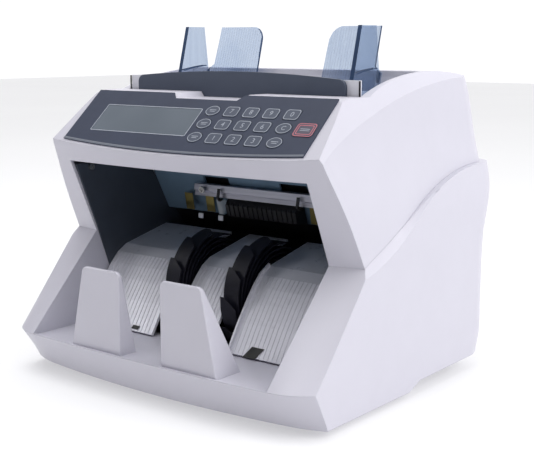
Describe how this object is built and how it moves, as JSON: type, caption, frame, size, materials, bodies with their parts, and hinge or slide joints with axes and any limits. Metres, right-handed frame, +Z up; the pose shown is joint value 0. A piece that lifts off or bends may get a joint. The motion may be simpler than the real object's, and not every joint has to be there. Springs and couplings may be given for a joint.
{
  "type": "banknote counting machine",
  "caption": "Desktop banknote counter: sloping keypad panel with display, top hopper with clear sliding guides, open front stacker bay with finger wheels.",
  "frame": {"origin": "centre of the footprint, on the surface that the feet stand on", "axes": "+X to the right of someone facing the front, -Y towards the front, +Z up"},
  "size_m": [0.3, 0.2855, 0.2778],
  "materials": {
    "white_housing": "fine-textured white moulding with a lavender cast",
    "panel_slate": "satin slate membrane overlay",
    "display_window": "smoked green-grey display window",
    "panel_key": "slate membrane key with a pale outline",
    "start_key": "slate membrane key with a red outline",
    "circuit_board": "green solder mask",
    "hopper_slate": "dark slate textured plastic",
    "light_grey_plastic": "light grey moulding",
    "clear_blue": "clear light blue acrylic with fine ribs",
    "black_plastic": "black moulding",
    "natural_nylon": "natural nylon gear",
    "bright_steel": "ground steel shaft",
    "black_rubber": "black polyurethane rubber",
    "white_plate": "off-white ribbed slide plate",
    "navy_liner": "dark navy side liner",
    "blue_grey_panel": "blue-grey guide panel",
    "brushed_steel": "brushed steel angle",
    "brass_strip": "tarnished brass spring strip",
    "plated_steel": "zinc-plated sheet",
    "motor_steel": "black motor can",
    "pulley_aluminium": "turned aluminium",
    "switch_plastic": "gloss black rocker",
    "foot_rubber": "black rubber",
    "screw_steel": "zinc-plated screw"
  },
  "bodies": {
    "machine": {"lower_housing": "white_housing", "upper_housing": "white_housing", "control_panel_overlay": "panel_slate", "display_window": "display_window", "panel_circuit_board": "circuit_board", "hopper_front_plate": "hopper_slate", "hopper_wall": "light_grey_plastic", "hopper_floor": "hopper_slate", "guide_track": "black_plastic", "retard_roller": "black_rubber", "stacker_plate_left": "white_plate", "stacker_plate_middle": "white_plate", "stacker_plate_right": "white_plate", "note_stop_left": "white_housing", "note_stop_right": "white_housing", "side_liners": "navy_liner", "exit_guide_panel": "blue_grey_panel", "exit_chute": "black_plastic", "cross_bar": "brushed_steel", "bar_hooks": "black_plastic", "contact_strips": "brass_strip", "brush_strip": "black_plastic", "side_frames": "plated_steel", "bearings": "bright_steel", "main_motor": "motor_steel", "drive_belts": "black_rubber", "main_circuit_board": "circuit_board", "power_inlet": "black_plastic", "feet": "foot_rubber", "screws": "screw_steel"},
    "guide_left": {"note_guide_left": "clear_blue", "guide_rack_left": "black_plastic"},
    "guide_right": {"note_guide_right": "clear_blue", "guide_rack_right": "black_plastic"},
    "guide_gear": {"guide_pinion": "natural_nylon"},
    "feed_roller": {"feed_shaft": "bright_steel", "feed_rollers": "black_rubber"},
    "pickup_roller": {"pickup_shaft": "bright_steel", "pickup_rollers": "black_rubber"},
    "stacker": {"stacker_shaft": "bright_steel", "stacker_wheel_left": "black_rubber", "stacker_wheel_right": "black_rubber"},
    "motor_rotor": {"motor_pulley": "pulley_aluminium"},
    "switch_rocker": {"power_switch_rocker": "switch_plastic"},
    "key_mode_pad": {"key_mode": "panel_key"},
    "key_7_pad": {"key_7": "panel_key"},
    "key_8_pad": {"key_8": "panel_key"},
    "key_9_pad": {"key_9": "panel_key"},
    "key_0_pad": {"key_0": "panel_key"},
    "key_add_pad": {"key_add": "panel_key"},
    "key_4_pad": {"key_4": "panel_key"},
    "key_5_pad": {"key_5": "panel_key"},
    "key_6_pad": {"key_6": "panel_key"},
    "key_clear_pad": {"key_clear": "panel_key"},
    "key_batch_pad": {"key_batch": "panel_key"},
    "key_1_pad": {"key_1": "panel_key"},
    "key_2_pad": {"key_2": "panel_key"},
    "key_3_pad": {"key_3": "panel_key"},
    "key_speed_pad": {"key_speed": "panel_key"},
    "key_start_pad": {"key_start": "start_key"}
  },
  "joints": [
    {"name": "guide_left_slide", "type": "slide", "parent": "machine", "child": "guide_left", "axis": [1, 0, 0], "range_m": [-0.0055, 0.033]},
    {"name": "guide_right_slide", "type": "slide", "parent": "machine", "child": "guide_right", "axis": [-1, 0, 0], "range_m": [-0.0055, 0.033]},
    {"name": "guide_gear_spin", "type": "hinge", "parent": "machine", "child": "guide_gear", "pos_m": [0, 0.058, 0.207], "axis": [0, 0, 1], "range_deg": [-38, 226]},
    {"name": "stacker_spin", "type": "hinge", "parent": "machine", "child": "stacker", "pos_m": [0, -0.026, 0.063], "axis": [1, 0, 0], "continuous": true},
    {"name": "feed_roller_spin", "type": "hinge", "parent": "machine", "child": "feed_roller", "pos_m": [0, 0, 0.193], "axis": [1, 0, 0], "continuous": true},
    {"name": "pickup_roller_spin", "type": "hinge", "parent": "machine", "child": "pickup_roller", "pos_m": [0, 0.03, 0.2135], "axis": [1, 0, 0], "continuous": true},
    {"name": "motor_spin", "type": "hinge", "parent": "machine", "child": "motor_rotor", "pos_m": [-0.13, 0.086, 0.078], "axis": [1, 0, 0], "continuous": true},
    {"name": "power_rocker_tilt", "type": "hinge", "parent": "machine", "child": "switch_rocker", "pos_m": [0.0695, 0.121, 0.066], "axis": [1, 0, 0], "range_deg": [-14, 0]},
    {"name": "key_mode_press", "type": "slide", "parent": "machine", "child": "key_mode_pad", "axis": [0, 0.662, -0.7495], "range_m": [0, 0.0004], "stiffness_N_per_m": 400},
    {"name": "key_7_press", "type": "slide", "parent": "machine", "child": "key_7_pad", "axis": [0, 0.662, -0.7495], "range_m": [0, 0.0004], "stiffness_N_per_m": 400},
    {"name": "key_8_press", "type": "slide", "parent": "machine", "child": "key_8_pad", "axis": [0, 0.662, -0.7495], "range_m": [0, 0.0004], "stiffness_N_per_m": 400},
    {"name": "key_9_press", "type": "slide", "parent": "machine", "child": "key_9_pad", "axis": [0, 0.662, -0.7495], "range_m": [0, 0.0004], "stiffness_N_per_m": 400},
    {"name": "key_0_press", "type": "slide", "parent": "machine", "child": "key_0_pad", "axis": [0, 0.662, -0.7495], "range_m": [0, 0.0004], "stiffness_N_per_m": 400},
    {"name": "key_add_press", "type": "slide", "parent": "machine", "child": "key_add_pad", "axis": [0, 0.662, -0.7495], "range_m": [0, 0.0004], "stiffness_N_per_m": 400},
    {"name": "key_4_press", "type": "slide", "parent": "machine", "child": "key_4_pad", "axis": [0, 0.662, -0.7495], "range_m": [0, 0.0004], "stiffness_N_per_m": 400},
    {"name": "key_5_press", "type": "slide", "parent": "machine", "child": "key_5_pad", "axis": [0, 0.662, -0.7495], "range_m": [0, 0.0004], "stiffness_N_per_m": 400},
    {"name": "key_6_press", "type": "slide", "parent": "machine", "child": "key_6_pad", "axis": [0, 0.662, -0.7495], "range_m": [0, 0.0004], "stiffness_N_per_m": 400},
    {"name": "key_clear_press", "type": "slide", "parent": "machine", "child": "key_clear_pad", "axis": [0, 0.662, -0.7495], "range_m": [0, 0.0004], "stiffness_N_per_m": 400},
    {"name": "key_batch_press", "type": "slide", "parent": "machine", "child": "key_batch_pad", "axis": [0, 0.662, -0.7495], "range_m": [0, 0.0004], "stiffness_N_per_m": 400},
    {"name": "key_1_press", "type": "slide", "parent": "machine", "child": "key_1_pad", "axis": [0, 0.662, -0.7495], "range_m": [0, 0.0004], "stiffness_N_per_m": 400},
    {"name": "key_2_press", "type": "slide", "parent": "machine", "child": "key_2_pad", "axis": [0, 0.662, -0.7495], "range_m": [0, 0.0004], "stiffness_N_per_m": 400},
    {"name": "key_3_press", "type": "slide", "parent": "machine", "child": "key_3_pad", "axis": [0, 0.662, -0.7495], "range_m": [0, 0.0004], "stiffness_N_per_m": 400},
    {"name": "key_speed_press", "type": "slide", "parent": "machine", "child": "key_speed_pad", "axis": [0, 0.662, -0.7495], "range_m": [0, 0.0004], "stiffness_N_per_m": 400},
    {"name": "key_start_press", "type": "slide", "parent": "machine", "child": "key_start_pad", "axis": [0, 0.662, -0.7495], "range_m": [0, 0.0004], "stiffness_N_per_m": 400}
  ],
  "couplings": [
    {"joint": "guide_right_slide", "follows": "guide_left_slide", "ratio": 1},
    {"joint": "guide_gear_spin", "follows": "guide_left_slide", "rad_per_m": 119.05},
    {"joint": "motor_spin", "follows": "stacker_spin", "ratio": 2},
    {"joint": "feed_roller_spin", "follows": "stacker_spin", "ratio": 1.5},
    {"joint": "pickup_roller_spin", "follows": "stacker_spin", "ratio": 1.5}
  ]
}
